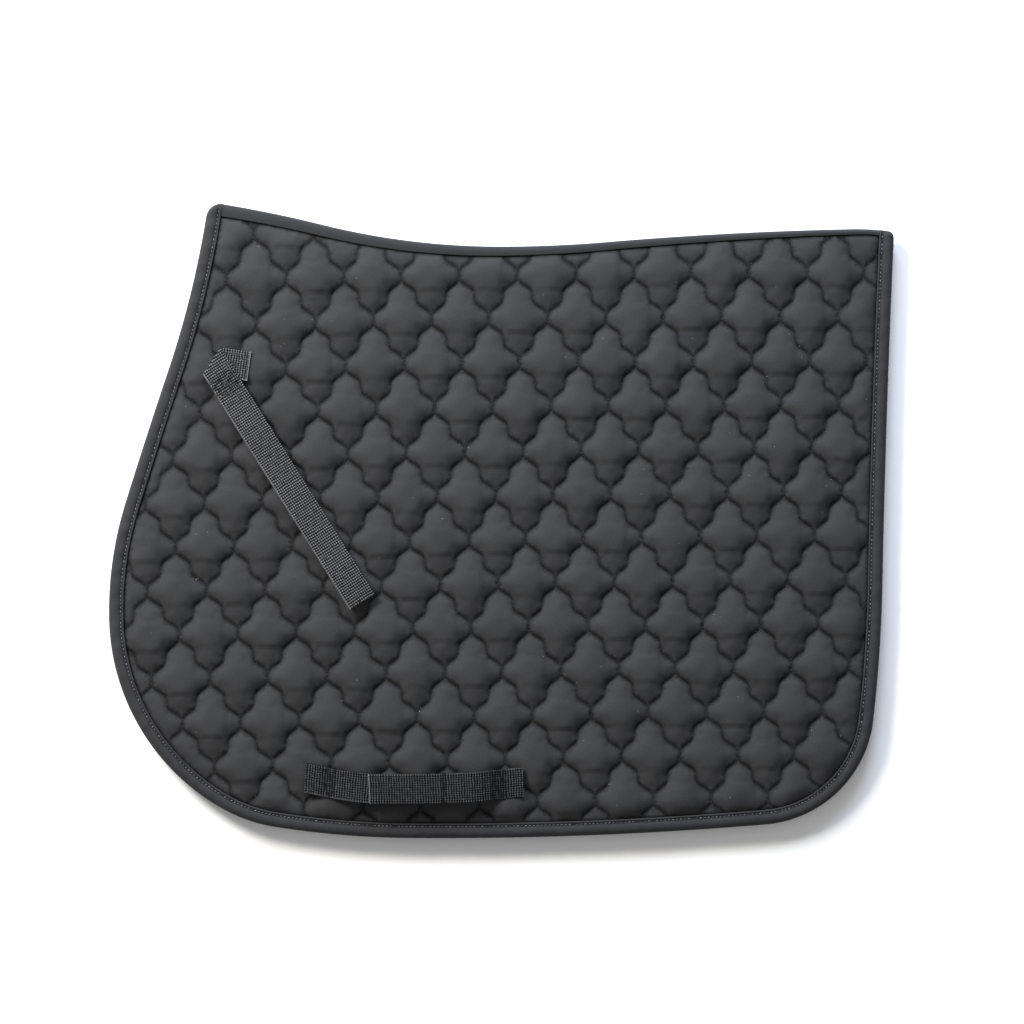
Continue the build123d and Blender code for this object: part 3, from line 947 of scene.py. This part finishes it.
# ---- spine tape, folded over the spine from one half to the other ----
ends = [
    edge.at(edge_end(BINDING_INSIDE, 2.0, front), BINDING_INSIDE)[0] for front in (True, False)
]
starts = spine.measure(np.array(ends).reshape(-1, 2))[1]
runs = np.arange(starts[0] - 0.8, starts[1] + 0.8, 2.4)
x = spine.at(runs, 0)[0][:, 0]
wide = tape_width(x)
share = np.array([1.0, 1.0, 0.95, 0.86, 0.72, 0.58, 0.44])  # of the width, towards the nose
rise = np.array([4.3, 4.9, 5.25, 5.3, 5.4, 5.45, 5.35])
nose = np.radians(np.linspace(66, -66, 9))
outside = [(s, 0.0, r) for s, r in zip(share, rise)]
outside += [(0.0, 3.2 - 3.2 * math.cos(a), 5.1 * math.sin(a)) for a in nose]
outside += [(s, 0.0, -r) for s, r in list(zip(share, rise))[::-1]]
inner = [(1.0, -0.1, -4.05), (0.7, 0.0, -4.4), (0.44, 0.0, -4.4)]
inner += [(0.0, 3.2 - 2.3 * math.cos(a), 4.2 * math.sin(a)) for a in nose[::-1]]
inner += [(0.44, 0.0, 4.4), (0.7, 0.0, 4.4), (1.0, -0.1, 4.05)]
section = np.array(outside + inner)
inset = wide[:, None] * section[:, 0] + section[:, 1]
run = runs[:, None]
flat = spine.at(run + 0 * inset, inset)[0]
uneven = ripples(pairs(run, section[:, 2]), 30, 90).reshape(inset.shape)
levels = section[:, 2] * (1 + 0.015 * uneven)
round_it = run_along(np.column_stack([section[:, 0] * 9 + section[:, 1], section[:, 2]]))
# Painted highlight: the tape is drawn lighter along its two edges, where the light catches them.
tone = 0.85 + 0.6 * (np.abs(section[:, 0] - 0.97) < 0.04)
piece = swept("spine_tape_cloth", "near", flat, levels, run, round_it, tone, -1)
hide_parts("spine_tape")
bend_at_spine(piece)


# ---- webbing ----

def weave_relief(run, over):
    """Raised yarns of the webbing, with smooth edges."""
    rib = np.abs(np.sin(np.pi * run / RIB)) ** 0.8
    cord = np.abs(np.sin(np.pi * over / CORD)) ** 0.6
    body = 1 - smooth((np.abs(over) - WEB_WIDTH / 2 + SELVEDGE + 0.5) / 0.5)
    return 0.4 * (rib * cord - 0.6) * body


def weave_tone(start, end, light_start=False, bright=1.0, stripe=0.16, bands=()):
    """Uneven tone of webbing, with darker sewn bands as (start, end, tone), and a melted end."""
    def tone(run, over):
        striped = 1 - stripe + stripe * np.cos(np.pi * run / RIB - 1.1) ** 2
        value = striped * (1 + 0.14 * ripples(pairs(run, over), 6, 95))
        for first, last, dark in bands:
            inside = smooth((run - first) / 2) * smooth((last - run) / 2)
            patchy = dark * (1 + 0.35 * ripples(pairs(run, over), 5, 96))
            value *= 1 - inside * (1 - patchy)
        cut = run < start + 1.0 if light_start else run > end - 1.0
        return np.where(cut, 1.5, np.clip(value * bright, 0.05, 1))
    return tone


def billet_place(side):
    """The billet strap's strip, folded over the slanted line."""
    base = BASES[side][0]
    radius = STRAP_STANDOFF / 2
    middle = base + WEB / 2 + radius
    ahead, left = direction(STRAP_ANGLE), direction(STRAP_ANGLE + 90)
    fold, into = direction(FOLD_ANGLE), direction(FOLD_ANGLE - 90)
    seed = 100 + SIDES.index(side)

    def place(run, over, rise):
        flat = run[:, None] * ahead + over[:, None] * left
        out, along = flat @ into, flat @ fold
        turn = np.clip(out / radius, -np.pi / 2, np.pi / 2)
        past = np.maximum(np.abs(out) - radius * np.pi / 2, 0) - (radius + rise) * np.cos(turn)
        xy = np.array(FOLD_CENTRE) + along[:, None] * fold + past[:, None] * into
        lift = 0.28 * smooth((run - 40) / 60) * ripples(pairs(run, 0), 75, seed, 6)
        lift = np.where(run > 0, np.maximum(lift, -0.1) if side == "near" else 0 * lift, 0)
        return np.column_stack([xy, middle + (radius + rise) * np.sin(turn) + lift])
    return place


def girth_place(side, front):
    """A girth strap: sewn down, then climbing clear, and swung a little towards the hem."""
    _, base, height = BASES[side]
    if front:
        origin, angle, length, bow = FRONT_SEWN, FRONT_ANGLE, FRONT_LENGTH, FRONT_BOW
    else:
        origin, angle, length, bow = REAR_SEWN, REAR_ANGLE, REAR_LENGTH, REAR_BOW
        height = height + WEB + 2 * TOUCH_TAPE + TOUCH_GAP
    ahead, left = direction(angle), direction(angle + 90)

    def place(run, over, rise):
        swing = bow * np.sin(np.pi * np.clip((run - 4) / (length - 4), 0, 1) ** 0.85)
        level = base + WEB / 2 + height * smooth((run - ANCHOR_LENGTH) / RISE_LENGTH) + rise
        flat = np.array(origin) + run[:, None] * ahead + (over + swing)[:, None] * left
        return np.column_stack([flat, level])
    return place


def offset_place(place, shift):
    """The same strip, with its middle moved up by a shift."""
    return lambda run, over, rise: place(run, over, rise + shift)


def spaced(start, end, step=0.55):
    return np.linspace(start, end, int((end - start) / step) + 1)


def webbing(name, side, start, end, place, tone):
    """A strap's webbing between two distances along it."""
    return strip_mesh(f"{side}_{name}", side, spaced(start, end), place, WEB_WIDTH, WEB, weave_relief,
                      tone, CLOTH["webbing"])


def touch_tape(strap, side, kind, start, end, place, face, body):
    """Hook or loop tape on a strap's upper face (1) or lower face (-1)."""
    on_face = offset_place(place, face * (WEB + TOUCH_TAPE) / 2)
    tape, _, _ = strip_mesh(f"{side}_{strap}_{kind}_strip", side, spaced(start, end, 1.0), on_face,
                            TOUCH_WIDTH, TOUCH_TAPE, pile(kind), lambda run, over: 0 * run + 0.9,
                            CLOTH[f"{kind}_tape"], step=1.0)
    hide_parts(f"{side}_{strap}_{kind}_tape")
    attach(tape, f"{side}_{body}")


def make_billet(side):
    place = billet_place(side)
    end = STRAP_LENGTH + STRAP_END_LENGTH
    tone = weave_tone(-TAB_LENGTH, 999, True, bands=[(13, 31, 0.6)])
    upper, run, over = webbing("billet_webbing_upper", side, -TAB_LENGTH, STRAP_SPLIT, place, tone)
    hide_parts(f"{side}_billet_tab", f"{side}_billet_strap")
    cos, sin = direction(STRAP_ANGLE - FOLD_ANGLE + 90)
    pass_over(upper, run * cos - over * sin)
    tone = weave_tone(-99, 999, bands=[(end - 4, end + 4, 0.7)])
    lower, run, _ = webbing("billet_webbing_lower", side, STRAP_SPLIT, end, place, tone)
    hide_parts(f"{side}_billet_strap_end")
    pass_over(lower, run)
    hook_start = STRAP_LENGTH + GAP + TOUCH_EDGE
    touch_tape("billet", side, "loop", TOUCH_START, STRAP_LENGTH - TOUCH_EDGE, place, -1, "billet")
    touch_tape("billet", side, "hook", hook_start, end - TOUCH_EDGE, place, -1, "billet_tip")
    make_box_stitches(side, place)


def pile(kind):
    """Surface of hook or loop tape."""
    if kind == "hook":
        return lambda run, over: 0.05 * np.sin(run * np.pi) * np.sin(over * np.pi)
    return lambda run, over: 0.06 * ripples(pairs(run, over), 2.5, 97)


def box_path(start, end, half, pitch):
    """Stitches round a square and across its diagonals, as run, across and heading."""
    corners = [(start, -half), (end, -half), (end, half), (start, half)]
    legs = list(zip(corners, corners[1:] + corners[:1]))
    legs += [(corners[0], corners[2]), (corners[1], corners[3])]
    found = []
    for (r0, a0), (r1, a1) in legs:
        count = max(int(math.hypot(r1 - r0, a1 - a0) / pitch), 2)
        for k in range(count):
            t = (k + 0.5) / count
            found.append((r0 + t * (r1 - r0), a0 + t * (a1 - a0), math.atan2(a1 - a0, r1 - r0)))
    return np.array(found).T


def make_box_stitches(side, place):
    """The sewing that holds the tab to the pad, and the same pattern on the strap over it."""
    base = BASES[side][0]
    run, over, turn = box_path(3.0, 23.0, 9.5, 2.6)
    ahead, left = direction(TAB_ANGLE), direction(TAB_ANGLE + 90)
    tab_run = TAB_LENGTH - run
    flat = np.array(FOLD_CENTRE) + tab_run[:, None] * ahead + over[:, None] * left
    piece = threads(f"{side}_billet_tab_thread", side, flat, np.full(len(run), base + WEB + 0.05),
                    math.radians(TAB_ANGLE) - turn, 2.2, 0.5, CLOTH["sewing_thread"])
    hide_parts(f"{side}_billet_tab_stitching")
    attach(piece, f"{side}_half")
    # nearer the fold, the off half's would rub on its cover when the strap is swung right round
    run, over, turn = box_path(13.5 if side == "near" else 19.0, 31.0, 10.0, 2.4)
    spots = place(run, over, np.full(len(run), WEB / 2 + 0.1))
    piece = threads(f"{side}_billet_box_thread", side, spots[:, :2], spots[:, 2],
                    math.radians(STRAP_ANGLE) + turn, 1.9, 0.55, CLOTH["binding_thread"])
    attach(piece, f"{side}_billet")


def make_girth(side):
    parts = (
        (True, "front", FRONT_LENGTH, "hook", 1, [(13, 27, 0.6)]),
        (False, "rear", REAR_LENGTH, "loop", -1, [(13, 29, 0.5), (64, 71, 0.5)]),
    )
    spots, turns = [], []
    over = np.arange(-10.5, 10.6, 2.6)
    for front, word, length, kind, face, bands in parts:
        place = girth_place(side, front)
        tone = weave_tone(0, length, bright=GIRTH_TONE, stripe=0.45, bands=bands)
        strap, run, _ = webbing(f"girth_{word}_webbing", side, 0, length, place, tone)
        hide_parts(f"{side}_girth_{word}_anchor", f"{side}_girth_{word}_tab")
        pass_over(strap, run)
        end = length - TOUCH_EDGE
        touch_tape("girth", side, kind, end - TOUCH_LENGTH, end, place, face, f"girth_{word}")
        for row in (3.0, 6.5, 11.0):
            spots.append(place(np.full(len(over), row), over, np.full(len(over), WEB / 2 + 0.06)))
            turns.append(np.full(len(over), math.radians((FRONT_ANGLE if front else REAR_ANGLE) + 90)))
    spots = np.concatenate(spots)
    piece = threads(f"{side}_girth_thread", side, spots[:, :2], spots[:, 2], np.concatenate(turns),
                    2.2, 0.5, CLOTH["sewing_thread"])
    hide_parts(f"{side}_girth_stitching")
    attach(piece, f"{side}_half")


for side in SIDES:
    make_billet(side)
    make_girth(side)


# ---- floor, light and camera ----
def area_light(name, place, size, power, colour):
    """Square soft light that faces the pad."""
    data = bpy.data.lights.new(name, "AREA")
    data.shape = "SQUARE"
    data.size = size
    data.energy = power
    data.color = colour
    lamp = add_object(name, data)
    lamp.location = place
    lamp.rotation_euler = (-Vector(place)).to_track_quat("-Z", "Y").to_euler()


bpy.ops.mesh.primitive_plane_add(size=12, location=(0, 0, -0.0005))
floor = bpy.context.object
floor.name = "floor"
material = bpy.data.materials.new("pale_floor")
material.use_nodes = True
surface = material.node_tree.nodes["Principled BSDF"]
surface.inputs["Base Color"].default_value = (0.93, 0.93, 0.93, 1)
surface.inputs["Roughness"].default_value = 0.9
surface.inputs["Specular IOR Level"].default_value = 0.1
floor.data.materials.append(material)
floor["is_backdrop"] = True
area_light("key", (-1.55, 1.65, 1.3), 0.8, 135, (1.0, 0.98, 0.92))
area_light("sky", (0.1, 1.8, 0.9), 1.0, 58, (0.7, 0.8, 1.0))

world = bpy.data.worlds.new("studio")
world.use_nodes = True
world.node_tree.nodes["Background"].inputs["Color"].default_value = (1, 1, 1, 1)
world.node_tree.nodes["Background"].inputs["Strength"].default_value = 0.42
scene.world = world
scene.view_settings.view_transform = "Standard"

CAMERA_HEIGHT = 2.6
FIELD = 0.8704  # width of the view at the pad's upper face
VIEW_CENTRE = (0.0089, 0.00765)
camera_data = bpy.data.cameras.new("camera")
camera_data.lens = camera_data.sensor_width * CAMERA_HEIGHT / FIELD
camera_data.clip_end = 50
camera = add_object("camera", camera_data)
camera.location = (*VIEW_CENTRE, PAD_TOP * MM + CAMERA_HEIGHT)
bpy.context.scene.camera = camera

[[list(corner) for corner in pair] for pair in (cad_box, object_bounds())]
